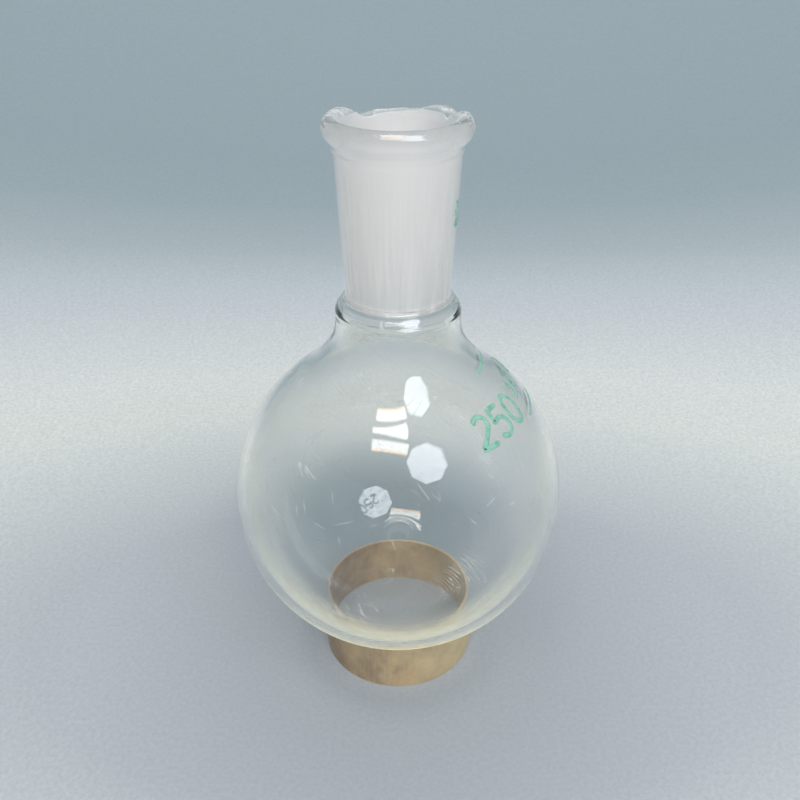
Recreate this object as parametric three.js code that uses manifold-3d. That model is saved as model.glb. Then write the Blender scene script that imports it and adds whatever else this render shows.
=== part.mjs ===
// Round bottom flask, 250 ml, with a beaded 24/40 taper joint, standing in a short paper-core ring.
// Units are millimetres and +Z is up. The origin is on the ring's axis, on the surface it stands on.

import * as THREE from 'three';
import { mergeVertices } from 'three/addons/utils/BufferGeometryUtils.js';
import Module from 'manifold-3d';

const wasm = await Module();
wasm.setup();

// ---- Driving dimensions -------------------------------------------------------------------------

const CLEARANCE = 0.3; // gap that touching pieces keep
const TURN_STEPS = 48; // facets round each turned piece

const RING_RADIUS = 21.25; // outside of the paper-core ring
const RING_WALL = 1.2;
const RING_HEIGHT = 16.6;
const RING_EDGE = 0.2; // softened corners of the cut paper

const BULB_RADIUS = 42.5; // outside of the blown bulb
const GLASS_WALL = 2.0;
const SHOULDER_FILLET = 20; // outside fillet from the bulb up into the neck
const NECK_RADIUS = 15.0; // outside of the neck where the fillet ends

const WELD_Z = 110.15; // where the joint is fused on to the neck
const WELD_RADIUS = 13.4; // outside there
const RIM_Z = 151.0; // top of the beaded rim
const BEAD_RADIUS = 16.4; // widest point of the beaded rim
const BEAD_ROUND = 2.1; // radius of the bead's crown
const BORE_TOP = 12.0; // 24 mm across at the mouth
const TAPER = 0.05; // the bore narrows 1 mm in diameter for every 10 mm of depth
const TUBE_TOP_RADIUS = 14.15; // outside of the joint, just under the bead
const TUBE_TOP_Z = 144.6;
const TUBE_TAPER = 0.052; // the outside narrows almost as fast

const MARK_THICKNESS = 0.25; // fired enamel, built up so that it is a solid

// The bulb sits on the ring's inner top edge, a clearance above it.
const SEAT_RADIUS = RING_RADIUS - RING_WALL + RING_EDGE;
const BULB_Z = RING_HEIGHT + Math.sqrt((BULB_RADIUS + CLEARANCE) ** 2 - SEAT_RADIUS ** 2);

// ---- Materials ----------------------------------------------------------------------------------

function clearGlass() {
  return new THREE.MeshStandardMaterial({ color: 0xdfe9ea, roughness: 0.05, metalness: 0 });
}

function groundGlass() {
  return new THREE.MeshStandardMaterial({ color: 0xd4d8d8, roughness: 0.55, metalness: 0 });
}

function kraftPaper() {
  return new THREE.MeshStandardMaterial({ color: 0x96805f, roughness: 0.8, metalness: 0 });
}

function greenEnamel() {
  return new THREE.MeshStandardMaterial({ color: 0x5aa88c, roughness: 0.45, metalness: 0 });
}

// ---- Solids -------------------------------------------------------------------------------------

// A geometry with shared vertices, as a solid that can be joined and cut.
function solid(geometry) {
  geometry.deleteAttribute('normal');
  geometry.deleteAttribute('uv');
  const merged = mergeVertices(geometry, 1e-4);
  return new wasm.Manifold(
    new wasm.Mesh({
      numProp: 3,
      vertProperties: merged.getAttribute('position').array,
      triVerts: new Uint32Array(merged.index.array),
    }),
  );
}

// A solid back as a geometry.
function geometryOf(shape) {
  const { vertProperties, triVerts } = shape.getMesh();
  const geometry = new THREE.BufferGeometry();
  geometry.setAttribute('position', new THREE.BufferAttribute(vertProperties, 3));
  geometry.setIndex(new THREE.BufferAttribute(triVerts, 1));
  geometry.computeVertexNormals();
  return geometry;
}

function mesh(name, geometry, material) {
  const made = new THREE.Mesh(geometry, material);
  made.name = name;
  return made;
}

// A profile of (radius, height) points turned about the Z axis.
function turned(profile) {
  return new THREE.LatheGeometry(profile, TURN_STEPS).rotateX(Math.PI / 2);
}

function point(radius, height) {
  return new THREE.Vector2(radius, height);
}

// Points along an arc about (radius, height), between two angles in degrees, both ends included.
function arc(radius, height, size, from, to, steps, squash = 1) {
  const points = [];
  for (let i = 0; i <= steps; i++) {
    const angle = THREE.MathUtils.degToRad(THREE.MathUtils.lerp(from, to, i / steps));
    points.push(point(radius + size * Math.cos(angle), height + size * squash * Math.sin(angle)));
  }
  return points;
}

// Points along a smooth curve through the given ones.
function smooth(points, steps) {
  return new THREE.SplineCurve(points).getPoints(steps);
}

// ---- Support ring -------------------------------------------------------------------------------

function supportRing() {
  const inside = RING_RADIUS - RING_WALL;
  const profile = [
    point(inside, RING_EDGE),
    point(inside + RING_EDGE, 0),
    point(RING_RADIUS - RING_EDGE, 0),
    point(RING_RADIUS, RING_EDGE),
    point(RING_RADIUS, RING_HEIGHT - RING_EDGE),
    point(RING_RADIUS - RING_EDGE, RING_HEIGHT),
    point(inside + RING_EDGE, RING_HEIGHT),
    point(inside, RING_HEIGHT - RING_EDGE),
    point(inside, RING_EDGE),
  ];
  return mesh('support_ring', turned(profile), kraftPaper());
}

// ---- Bulb and neck ------------------------------------------------------------------------------

// The shoulder fillet's circle, and the elevation, in radians, where it leaves the bulb.
function shoulder() {
  const filletRadius = NECK_RADIUS + SHOULDER_FILLET;
  const filletRise = Math.sqrt((BULB_RADIUS + SHOULDER_FILLET) ** 2 - filletRadius ** 2);
  return { filletRadius, filletZ: BULB_Z + filletRise, tangent: Math.atan2(filletRise, filletRadius) };
}

// One skin of the bulb, from its lowest point up to the top of the shoulder fillet.
// depth is how far the skin lies inside the outer surface.
function bulbSkin(depth, bulbSteps, filletSteps) {
  const { filletRadius, filletZ, tangent } = shoulder();
  const tangentDegrees = THREE.MathUtils.radToDeg(tangent);
  const round = arc(0, BULB_Z, BULB_RADIUS - depth, -90, tangentDegrees, bulbSteps);
  round[0].x = 0;
  const fillet = arc(filletRadius, filletZ, SHOULDER_FILLET + depth, 180 + tangentDegrees, 180, filletSteps);
  return [...round, ...fillet.slice(1)];
}

function bulb() {
  const top = WELD_Z - CLEARANCE / 2;
  const outside = bulbSkin(0, 18, 5);
  const inside = bulbSkin(GLASS_WALL, 16, 4);
  const neckEnd = outside.at(-1);
  const boreEnd = inside.at(-1);
  const boreRadius = BORE_TOP - TAPER * (RIM_Z - top);
  // Above the fillet the neck closes in quickly to meet the joint.
  const neck = smooth([neckEnd, point(14.7, 107.8), point(14.3, 109.2), point(WELD_RADIUS + 0.15, top)], 4);
  const bore = smooth([boreEnd, point(12.4, 108.2), point(boreRadius, top)], 3);
  const profile = [...outside, ...neck.slice(1), ...bore.reverse(), ...inside.reverse().slice(1)];
  return mesh('bulb', turned(profile), clearGlass());
}

// ---- Taper joint with its beaded, chipped rim ---------------------------------------------------

// Where the rim is broken: each chip is a scoop struck out of the back of the bead.
// angle is in degrees about +Z from +X, deep is the height that the scoop reaches down to.
const CHIPS = [
  { angle: 129, radius: 14.6, size: 4.4, deep: 148.2 },
  { angle: 111, radius: 15.8, size: 5.6, deep: 148.3 },
  { angle: 92, radius: 16.0, size: 6.0, deep: 148.2 },
  { angle: 75, radius: 16.0, size: 5.6, deep: 148.5 },
  { angle: 58, radius: 16.6, size: 5.2, deep: 149.1 },
  { angle: 44, radius: 16.2, size: 4.6, deep: 149.2 },
  { angle: 31, radius: 14.2, size: 3.0, deep: 148.5 },
];

function chip({ angle, radius, size, deep }) {
  const turn = THREE.MathUtils.degToRad(angle);
  const ball = new THREE.SphereGeometry(size, 16, 12);
  ball.rotateX(Math.PI / 2);
  ball.rotateZ(turn);
  ball.translate(radius * Math.cos(turn), radius * Math.sin(turn), deep + size);
  return solid(ball);
}

function groundJoint() {
  const bottom = WELD_Z + CLEARANCE / 2;
  const tubeFoot = 111.6; // the outside is already straight here
  const tubeFootRadius = TUBE_TOP_RADIUS - TUBE_TAPER * (TUBE_TOP_Z - tubeFoot);
  const crownZ = RIM_Z - BEAD_ROUND;
  const lipRadius = BEAD_RADIUS - BEAD_ROUND;
  const lipHeight = 1.7; // the mouth's inner edge is rounded over this height
  const boreBottom = BORE_TOP - TAPER * (RIM_Z - bottom);
  const foot = smooth([point(WELD_RADIUS, bottom), point(12.75, 110.9), point(tubeFootRadius, tubeFoot)], 3);
  const underBead = smooth([point(TUBE_TOP_RADIUS, TUBE_TOP_Z), point(14.6, 145.4), point(15.5, 146.4)], 3);
  const crown = arc(lipRadius, crownZ, BEAD_ROUND, -40, 90, 7);
  const lipWidth = lipRadius - BORE_TOP;
  const lip = arc(lipRadius, RIM_Z - lipHeight, lipWidth, 90, 180, 4, lipHeight / lipWidth);
  const start = point(boreBottom, bottom);
  const profile = [start, ...foot, ...underBead, ...crown, ...lip.slice(1), start.clone()];
  const whole = solid(turned(profile));
  const broken = CHIPS.reduce((left, each) => left.subtract(chip(each)), whole);
  return mesh('ground_joint', geometryOf(broken), groundGlass());
}

// ---- Enamel marks -------------------------------------------------------------------------------

// Digits as single strokes in a cell one unit high, with (0, 0) at its centre.
const CELL = 0.62; // width of a digit over its height

function cell(x, y) {
  return point(x * CELL, y);
}

function bowl(x, y, size, from, to, steps) {
  return arc(x * CELL, y, size, from, to, steps);
}

const STROKES = {
  0: [{ closed: true, points: arc(0, 0, CELL / 2, 0, 330, 11, 1 / CELL) }],
  2: [
    {
      points: [...bowl(0, 0.22, 0.28, 165, -25, 6), cell(-0.5, -0.5), cell(0.5, -0.5)],
    },
  ],
  4: [
    { points: [cell(0.5, -0.2), cell(-0.5, -0.2), cell(0.2, 0.5)] },
    { points: [cell(0.2, 0.56), cell(0.2, -0.56)] },
  ],
  5: [
    {
      points: [
        cell(0.45, 0.5),
        cell(-0.4, 0.5),
        cell(-0.45, 0.06),
        ...bowl(-0.05, -0.19, 0.31, 115, -150, 8),
      ],
    },
  ],
  slash: [{ points: [cell(-0.3, -0.56), cell(0, 0), cell(0.3, 0.56)] }],
};

// The two edges of a stroke: its points moved sideways by half its width, mitred at the corners.
function strokeEdges({ points, closed }, width) {
  const count = points.length;
  const at = (i) => (closed ? points[(i + count) % count] : points[THREE.MathUtils.clamp(i, 0, count - 1)]);
  return points.map((here, i) => {
    const before = here.clone().sub(at(i - 1)).normalize();
    const after = at(i + 1).clone().sub(here).normalize();
    const along = before.clone().add(after).normalize();
    const first = before.lengthSq() > 0 ? before : after;
    const stretch = Math.min(1 / Math.max(Math.abs(along.dot(first)), 0.5), 1.6);
    const side = point(-along.y, along.x).multiplyScalar((width / 2) * stretch);
    return [here.clone().add(side), here.clone().sub(side)];
  });
}

// A stroke as a thin solid that follows a curved surface. place(u, v, h) gives the point u along,
// v up and h out from the surface.
function strokeSolid(stroke, size, width, place) {
  const scaled = { ...stroke, points: stroke.points.map((p) => p.clone().multiplyScalar(size)) };
  const edges = strokeEdges(scaled, width);
  const low = CLEARANCE;
  const high = CLEARANCE + MARK_THICKNESS;
  const corners = edges.flatMap(([left, right]) => [
    place(left.x, left.y, low),
    place(left.x, left.y, high),
    place(right.x, right.y, high),
    place(right.x, right.y, low),
  ]);
  const faces = [];
  const quad = (a, b, c, d) => faces.push(a, b, c, a, c, d);
  const spans = stroke.closed ? edges.length : edges.length - 1;
  for (let i = 0; i < spans; i++) {
    const from = i * 4;
    const to = ((i + 1) % edges.length) * 4;
    for (let k = 0; k < 4; k++) {
      const next = (k + 1) % 4;
      quad(from + k, from + next, to + next, to + k);
    }
  }
  if (!stroke.closed) {
    const end = (edges.length - 1) * 4;
    quad(3, 2, 1, 0);
    quad(end, end + 1, end + 2, end + 3);
  }
  const geometry = new THREE.BufferGeometry().setFromPoints(corners);
  geometry.setIndex(faces);
  return solid(geometry);
}

function glyph(name, key, size, width, place) {
  const [first, ...rest] = STROKES[key].map((stroke) => strokeSolid(stroke, size, width, place));
  const whole = rest.reduce((left, each) => left.add(each), first);
  return mesh(name, geometryOf(whole), greenEnamel());
}

// A plain bar, cut into short lengths so that it follows the surface.
function bar(name, length, width, steps, place) {
  const points = [];
  for (let i = 0; i <= steps; i++) points.push(point(length * (i / steps - 0.5), 0));
  return mesh(name, geometryOf(strokeSolid({ points }, 1, width, place)), greenEnamel());
}

// A place() on the bulb and its shoulder, centred at an elevation above the bulb's middle and an
// azimuth from +X. Past the bulb's tangent with the shoulder fillet, the surface curves the other way.
function onBulb(elevation, azimuth) {
  const { filletRadius, filletZ, tangent } = shoulder();
  const rise = THREE.MathUtils.degToRad(elevation);
  const turn = THREE.MathUtils.degToRad(azimuth);
  const across = (angle) => Math.cos(angle) * BULB_RADIUS;
  return (u, v, h) => {
    const up = rise + v / BULB_RADIUS;
    const past = (up - tangent) * BULB_RADIUS;
    const round = turn + u / across(rise);
    let radius = across(up) + h * Math.cos(up);
    let z = BULB_Z + (BULB_RADIUS + h) * Math.sin(up);
    if (past > 0) {
      const lean = tangent - past / SHOULDER_FILLET;
      radius = filletRadius - (SHOULDER_FILLET - h) * Math.cos(lean);
      z = filletZ - (SHOULDER_FILLET - h) * Math.sin(lean);
    }
    return new THREE.Vector3(radius * Math.cos(round), radius * Math.sin(round), z);
  };
}

// A place() on the outside of the joint, centred at a height and an azimuth.
function onJoint(height, azimuth) {
  const turn = THREE.MathUtils.degToRad(azimuth);
  return (u, v, h) => {
    const z = height + v;
    const radius = TUBE_TOP_RADIUS - TUBE_TAPER * (TUBE_TOP_Z - z);
    const round = turn + u / radius;
    return new THREE.Vector3((radius + h) * Math.cos(round), (radius + h) * Math.sin(round), z);
  };
}

// A row of digits, spaced evenly along the surface from the first one's azimuth.
function row({ prefix, keys, size, width, pitch, first, radius, place }) {
  return keys.map((key, i) => {
    const azimuth = first + THREE.MathUtils.radToDeg((i * pitch) / radius);
    return glyph(`${prefix}_${i + 1}`, key, size, width, place(azimuth));
  });
}

function shoulderMarks() {
  const bigRise = 47;
  const smallRise = 49;
  const across = (rise) => BULB_RADIUS * Math.cos(THREE.MathUtils.degToRad(rise));
  const capacity = row({
    prefix: 'mark_capacity',
    keys: ['2', '5', '0'],
    size: 7.6,
    width: 1.1,
    pitch: 6.4,
    first: -47,
    radius: across(bigRise),
    place: (azimuth) => onBulb(bigRise, azimuth),
  });
  const jointSize = row({
    prefix: 'mark_size',
    keys: ['2', '4', 'slash', '4', '0'],
    size: 4.2,
    width: 0.7,
    pitch: 3.7,
    first: -8,
    radius: across(smallRise),
    place: (azimuth) => onBulb(smallRise, azimuth),
  });
  const upper = bar('mark_bar_upper', 11, 0.9, 6, onBulb(62.5, -6));
  const lower = bar('mark_bar_lower', 13, 0.9, 6, onBulb(39, -1));
  return [...capacity, ...jointSize, upper, lower];
}

function jointMarks() {
  const azimuth = -17;
  const digits = { size: 2.3, width: 0.4, pitch: 1.9, first: azimuth - 4, radius: 13.6 };
  const above = row({
    ...digits,
    prefix: 'mark_joint_top',
    keys: ['2', '4'],
    place: (turn) => onJoint(132.9, turn),
  });
  const below = row({
    ...digits,
    prefix: 'mark_joint_bottom',
    keys: ['4', '0'],
    place: (turn) => onJoint(129.1, turn),
  });
  return [...above, bar('mark_joint_bar', 3.4, 0.4, 3, onJoint(131, azimuth)), ...below];
}

// ---- The whole object ---------------------------------------------------------------------------

const flaskOnRing = new THREE.Group();
flaskOnRing.add(supportRing());
flaskOnRing.add(bulb());
flaskOnRing.add(groundJoint());
flaskOnRing.add(...shoulderMarks());
flaskOnRing.add(...jointMarks());

export default flaskOnRing;
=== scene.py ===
"""A 250 ml round bottom flask with a broken rim, standing in a short paper-core ring.

Metres, +Z up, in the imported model's own frame. Glass and paper are turned from outlines whose driving
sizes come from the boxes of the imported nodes, and the enamel figures follow the glass. Materials and
outlines that are given in millimetres say so.
"""

import math

import bpy
import numpy as np
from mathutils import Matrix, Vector


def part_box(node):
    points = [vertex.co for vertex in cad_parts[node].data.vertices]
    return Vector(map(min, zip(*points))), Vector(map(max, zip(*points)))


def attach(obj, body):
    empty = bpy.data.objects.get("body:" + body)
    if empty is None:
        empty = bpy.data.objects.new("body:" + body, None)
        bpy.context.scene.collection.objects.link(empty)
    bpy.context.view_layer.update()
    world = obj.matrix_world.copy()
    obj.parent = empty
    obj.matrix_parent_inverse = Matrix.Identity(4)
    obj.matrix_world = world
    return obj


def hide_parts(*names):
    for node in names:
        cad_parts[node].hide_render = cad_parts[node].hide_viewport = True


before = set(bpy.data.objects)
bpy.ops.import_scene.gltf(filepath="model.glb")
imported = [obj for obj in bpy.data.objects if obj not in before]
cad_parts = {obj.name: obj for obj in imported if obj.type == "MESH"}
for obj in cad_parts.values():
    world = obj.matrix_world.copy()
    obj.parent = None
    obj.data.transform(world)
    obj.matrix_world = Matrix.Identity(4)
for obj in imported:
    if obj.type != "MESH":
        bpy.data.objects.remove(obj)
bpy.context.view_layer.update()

MM = 0.001

# ---- Sizes --------------------------------------------------------------------------------------

bulb_low, bulb_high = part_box("bulb")
joint_low, joint_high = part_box("ground_joint")
ring_low, ring_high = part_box("support_ring")

BULB_RADIUS = round((bulb_high.x - bulb_low.x) / 2, 4)
BULB_Z = bulb_low.z + BULB_RADIUS
WELD_Z = (bulb_high.z + joint_low.z) / 2
RIM_Z = joint_high.z
BEAD_RADIUS = round((joint_high.x - joint_low.x) / 2, 4)
RING_RADIUS = round((ring_high.x - ring_low.x) / 2, 5)
RING_HEIGHT = ring_high.z

GLASS_WALL = 2.0 * MM
SHOULDER_SWEEP = 36 * MM  # the wide hollow curve that leaves the ball
NECK_FILLET = 12.5 * MM  # the tighter one that turns up into the neck
SWEEP_END = math.radians(34)  # how far the surface still leans out where they meet
NECK_RADIUS = 15 * MM
WELD_RADIUS = 12.9 * MM
WELD_GAP = 0.03 * MM
BORE_TOP = 12 * MM  # the ground bore's radius at the rim, and how much that falls for each unit down
BORE_TAPER = 0.05
TUBE_TOP_RADIUS = 14.15 * MM  # the joint's outside, just under the bead
TUBE_TOP_Z = RIM_Z - 6.4 * MM
TUBE_TAPER = 0.052
RING_WALL = 0.8 * MM

# How many facets there are round each piece.
GLASS_STEPS = 256
JOINT_STEPS = 560
PAPER_STEPS = 480


# ---- Outlines -----------------------------------------------------------------------------------


def arc(radius, height, size, start, end, steps, squash=1.0):
    """Points along an arc about (radius, height), from one angle to another in degrees."""
    turn = np.radians(np.linspace(start, end, steps + 1))
    return np.column_stack([radius + size * np.cos(turn), height + size * squash * np.sin(turn)])


def smooth(points, steps):
    """A Catmull-Rom curve through the points, with that many steps between each two."""
    p = np.array(points, float)
    p = np.vstack([2 * p[0] - p[1], p, 2 * p[-1] - p[-2]])
    t = np.linspace(0, 1, steps, endpoint=False)[:, None]
    rows = []
    for a, b, c, d in zip(p, p[1:], p[2:], p[3:]):
        first = (c - a) * t
        second = (2 * a - 5 * b + 4 * c - d) * t**2
        third = (3 * (b - c) + d - a) * t**3
        rows.append(0.5 * (2 * b + first + second + third))
    return np.vstack([*rows, p[-2]])


def straight(start, end, steps):
    return np.linspace(start, end, steps + 1)


def joined(*runs):
    """Runs of points as one, without the point that each shares with the run before it."""
    return np.vstack([runs[0], *[run[1:] for run in runs[1:]]])


# ---- Meshes -------------------------------------------------------------------------------------


def wobble(points, wavelength, seed, waves=7):
    """A smooth wandering value for each point, about -1 to 1, from a few sine waves."""
    local = np.random.default_rng(seed)
    way = local.normal(size=(waves, 3))
    way /= np.linalg.norm(way, axis=1)[:, None]
    pitch = 2 * math.pi / (wavelength * local.uniform(0.6, 1.6, waves))
    phase = local.uniform(0, 2 * math.pi, waves)
    return np.sin((points @ way.T) * pitch + phase).sum(axis=1) / math.sqrt(waves * 2)


def turn_grid(profile, steps):
    """The profile turned about Z, as points in rows of one azimuth each."""
    turn = np.linspace(0, 2 * math.pi, steps, endpoint=False)[:, None]
    radius, height = profile[:, 0][None, :], profile[:, 1][None, :]
    grid = np.stack([radius * np.cos(turn), radius * np.sin(turn), height + 0 * turn], axis=-1)
    return grid


def smooth_mesh(name, vertices, faces):
    mesh = bpy.data.meshes.new(name)
    mesh.from_pydata(vertices, [], faces)
    mesh.update()
    mesh.polygons.foreach_set("use_smooth", np.ones(len(mesh.polygons), bool))
    return mesh


def quads_between(index, after):
    """Faces from each row of point numbers to the next row round, along to the numbers in after."""
    beside, beside_after = np.roll(index, -1, axis=0), np.roll(after, -1, axis=0)
    return np.stack([index, beside, beside_after, after], axis=-1).reshape(-1, 4).tolist()


def point_numbers(grid):
    return np.arange(grid.shape[0] * grid.shape[1]).reshape(grid.shape[:2])


def closed_mesh(name, grid):
    """A mesh from rows of points round an axis, where each row runs back to its own start."""
    index = point_numbers(grid)
    faces = quads_between(index, np.roll(index, -1, axis=1))
    return smooth_mesh(name, grid.reshape(-1, 3).tolist(), faces)


def capped_mesh(name, grid):
    """A mesh from rows of points round an axis that start and end on it. Each end becomes one point,
    with a fan of triangles round it."""
    start, end = grid[:, 0].mean(axis=0), grid[:, -1].mean(axis=0)
    grid = grid[:, 1:-1]
    index = point_numbers(grid)
    faces = quads_between(index[:, :-1], index[:, 1:])
    low, high = index.size, index.size + 1
    beside = np.roll(index, -1, axis=0)
    faces += [[low, b, a] for a, b in zip(index[:, 0].tolist(), beside[:, 0].tolist())]
    faces += [[high, a, b] for a, b in zip(index[:, -1].tolist(), beside[:, -1].tolist())]
    vertices = np.vstack([grid.reshape(-1, 3), start, end])
    return smooth_mesh(name, vertices.tolist(), faces)


def add_piece(name, mesh, body, nodes):
    piece = bpy.data.objects.new(name, mesh)
    bpy.context.scene.collection.objects.link(piece)
    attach(piece, body)
    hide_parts(*nodes)
    return piece


def vertex_value(mesh, name, values):
    """Stores one number for each vertex, which a material reads by its name."""
    store = mesh.attributes.new(name, "FLOAT", "POINT")
    store.data.foreach_set("value", np.asarray(values, np.float32))


# ---- Node helpers -------------------------------------------------------------------------------


def new_material(name):
    material = bpy.data.materials.new(name)
    material.use_nodes = True
    material.node_tree.nodes.clear()
    return material, material.node_tree


def node(tree, kind, **settings):
    made = tree.nodes.new(kind)
    for key, value in settings.items():
        setattr(made, key, value)
    return made


def feed(tree, socket, source):
    """Links source into socket, or sets it if it is a plain value."""
    if hasattr(source, "is_output"):
        tree.links.new(source, socket)
    else:
        socket.default_value = source


def places(tree, scale=(1, 1, 1), turn=(0, 0, 0)):
    """Object coordinates in millimetres, stretched by scale and turned, in radians."""
    coordinates = node(tree, "ShaderNodeTexCoord").outputs["Object"]
    if any(turn):
        turned = node(tree, "ShaderNodeMapping")
        turned.inputs["Rotation"].default_value = turn
        tree.links.new(coordinates, turned.inputs["Vector"])
        coordinates = turned.outputs["Vector"]
    mapping = node(tree, "ShaderNodeMapping")
    mapping.inputs["Scale"].default_value = [s / MM for s in scale]
    tree.links.new(coordinates, mapping.inputs["Vector"])
    return mapping.outputs["Vector"]


def cloud(tree, scale, stretch=(1, 1, 1), detail=4.0, rough=0.55, turn=(0, 0, 0)):
    """Noise with that many features to the millimetre, 0 to 1."""
    noise = node(tree, "ShaderNodeTexNoise")
    feed(tree, noise.inputs["Vector"], places(tree, stretch, turn))
    noise.inputs["Scale"].default_value = scale
    noise.inputs["Detail"].default_value = detail
    noise.inputs["Roughness"].default_value = rough
    return noise.outputs["Fac"]


def span(tree, value, low, high, to_low=0.0, to_high=1.0, smooth_step=False):
    """value carried from low..high to to_low..to_high, and held inside it."""
    made = node(tree, "ShaderNodeMapRange")
    if smooth_step:
        made.interpolation_type = "SMOOTHSTEP"
    feed(tree, made.inputs["Value"], value)
    for name, number in (
        ("From Min", low),
        ("From Max", high),
        ("To Min", to_low),
        ("To Max", to_high),
    ):
        made.inputs[name].default_value = number
    return made.outputs["Result"]


def maths(tree, operation, *values):
    made = node(tree, "ShaderNodeMath", operation=operation)
    for socket, value in zip(made.inputs, values):
        feed(tree, socket, value)
    return made.outputs[0]


def product(tree, first, second):
    return maths(tree, "MULTIPLY", first, second)


def blend_colours(tree, factor, first, second):
    made = node(tree, "ShaderNodeMix", data_type="RGBA")
    feed(tree, made.inputs["Factor"], factor)
    feed(tree, made.inputs["A"], first)
    feed(tree, made.inputs["B"], second)
    return made.outputs["Result"]


def ramp(tree, value, stops):
    """A colour read from a row of (position, colour) stops."""
    made = node(tree, "ShaderNodeValToRGB")
    feed(tree, made.inputs["Fac"], value)
    row = made.color_ramp.elements
    row[0].position, row[0].color = stops[0]
    row[1].position, row[1].color = stops[-1]
    for position, colour in stops[1:-1]:
        row.new(position).color = colour
    return made.outputs["Color"]


def bump(tree, height, strength, distance, below=None):
    """A bump normal from a height, laid over the one below it if there is one."""
    made = node(tree, "ShaderNodeBump")
    feed(tree, made.inputs["Strength"], strength)
    made.inputs["Distance"].default_value = distance
    feed(tree, made.inputs["Height"], height)
    if below is not None:
        feed(tree, made.inputs["Normal"], below)
    return made.outputs["Normal"]


def stack(tree, factor, first, second):
    """The first surface, with the second over it by the factor."""
    made = node(tree, "ShaderNodeMixShader")
    feed(tree, made.inputs[0], factor)
    tree.links.new(first, made.inputs[1])
    tree.links.new(second, made.inputs[2])
    return made.outputs[0]


def both(tree, first, second):
    """The light of both surfaces together."""
    made = node(tree, "ShaderNodeAddShader")
    tree.links.new(first, made.inputs[0])
    tree.links.new(second, made.inputs[1])
    return made.outputs[0]


def axis(tree, name):
    """One object coordinate, in millimetres."""
    split = node(tree, "ShaderNodeSeparateXYZ")
    tree.links.new(places(tree), split.inputs[0])
    return split.outputs[name]


def from_axis(tree, share_x=1.0):
    """The distance from the Z axis, in millimetres, with X counted by a share."""
    across = product(tree, axis(tree, "X"), share_x)
    squares = product(tree, across, across)
    depth = axis(tree, "Y")
    return maths(tree, "SQRT", maths(tree, "MULTIPLY_ADD", depth, depth, squares))


def attribute(tree, name):
    made = node(tree, "ShaderNodeAttribute", attribute_name=name)
    return made.outputs["Fac"]


def close(tree, surface):
    out = node(tree, "ShaderNodeOutputMaterial")
    tree.links.new(surface, out.inputs["Surface"])


# ---- Glass outlines -----------------------------------------------------------------------------

# The shoulder's two hollow curves: the radius and height of each one's centre, and the elevation at
# which the wide one leaves the ball.
CURVE_DROP = SHOULDER_SWEEP - NECK_FILLET
FILLET_RADIUS = NECK_RADIUS + NECK_FILLET
SWEEP_RADIUS = FILLET_RADIUS + CURVE_DROP * math.cos(SWEEP_END)
SWEEP_RISE = math.sqrt((BULB_RADIUS + SHOULDER_SWEEP) ** 2 - SWEEP_RADIUS**2)
SWEEP_Z = BULB_Z + SWEEP_RISE
FILLET_Z = SWEEP_Z - CURVE_DROP * math.sin(SWEEP_END)
TANGENT = math.degrees(math.atan2(SWEEP_RISE, SWEEP_RADIUS))
BORE_FOOT = BORE_TOP - BORE_TAPER * (RIM_Z - WELD_Z)

# The collar where the neck is drawn in to the weld, outside and inside: radius, and depth below the
# weld, in millimetres. The ridges that the flame left are centred at COLLAR_Z.
COLLAR_OUTSIDE = [(15.0, 3.55), (14.75, 2.75), (14.35, 2.1), (13.9, 1.45), (13.45, 0.85)]
COLLAR_INSIDE = [(12.97, 3.85), (12.6, 2.85), (11.9, 2.0), (11.1, 1.3), (10.4, 0.7)]
COLLAR_Z = WELD_Z - 2.55 * MM

# The bead and the groove under it: how far each point is in from the bead's widest, and down from the
# rim, in millimetres.
BEAD = [
    (2.18, 7.35),
    (2.1, 7.1),
    (2.18, 6.8),
    (2.25, 6.4),
    (1.95, 5.85),
    (1.45, 5.2),
    (0.85, 4.58),
    (0.35, 3.85),
    (0.06, 3.05),
    (0.0, 2.25),
    (0.08, 1.55),
    (0.45, 0.95),
    (0.88, 0.4),
    (1.4, 0.08),
    (2.0, 0.0),
    (2.75, 0.14),
    (3.45, 0.58),
    (3.95, 1.25),
    (4.24, 2.1),
]
GROOVE_DEPTH = 7.7 * MM
BORE_START = 3.2 * MM
BEAD_STEPS = 5
# The ground face starts this many facets before the end of the bead's curve.
GROUND_LEAD = 9

# Where the rim is broken: how far below the rim the glass ends at each azimuth in degrees from +X, in
# millimetres. Beyond the two ends of the list, where it clears the rim, the rim is whole.
RIM_CLEAR = 0.2
BREAK = [
    (4, -RIM_CLEAR),
    (14, 0.1),
    (21, 0.7),
    (28, 1.9),
    (36, 1.2),
    (46, 0.6),
    (57, 0.6),
    (64, 1.1),
    (74, 1.7),
    (90, 1.9),
    (107, 2.0),
    (116, 2.3),
    (122, 2.5),
    (130, 2.2),
    (139, 1.1),
    (147, 0.2),
    (158, -RIM_CLEAR),
]
# The bruised stretches at both ends of the break, as the azimuth of the middle and half the width.
BRUISES = [(6, 29), (170, 32)]
SCAR_RADIUS = 14.2 * MM
WHOLE = 1.0


def skin(depth, bulb_steps, fillet_steps):
    """One skin of the bulb, from its lowest point to the top of the shoulder."""
    ball = arc(0, BULB_Z, BULB_RADIUS - depth, -90, TANGENT, bulb_steps)
    ball[0, 0] = 0
    turn = 180 + math.degrees(SWEEP_END)
    shoulder = arc(SWEEP_RADIUS, SWEEP_Z, SHOULDER_SWEEP + depth, 180 + TANGENT, turn, fillet_steps)
    neck = arc(FILLET_RADIUS, FILLET_Z, NECK_FILLET + depth, turn, 180, fillet_steps)
    return joined(ball, shoulder, neck)


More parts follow.
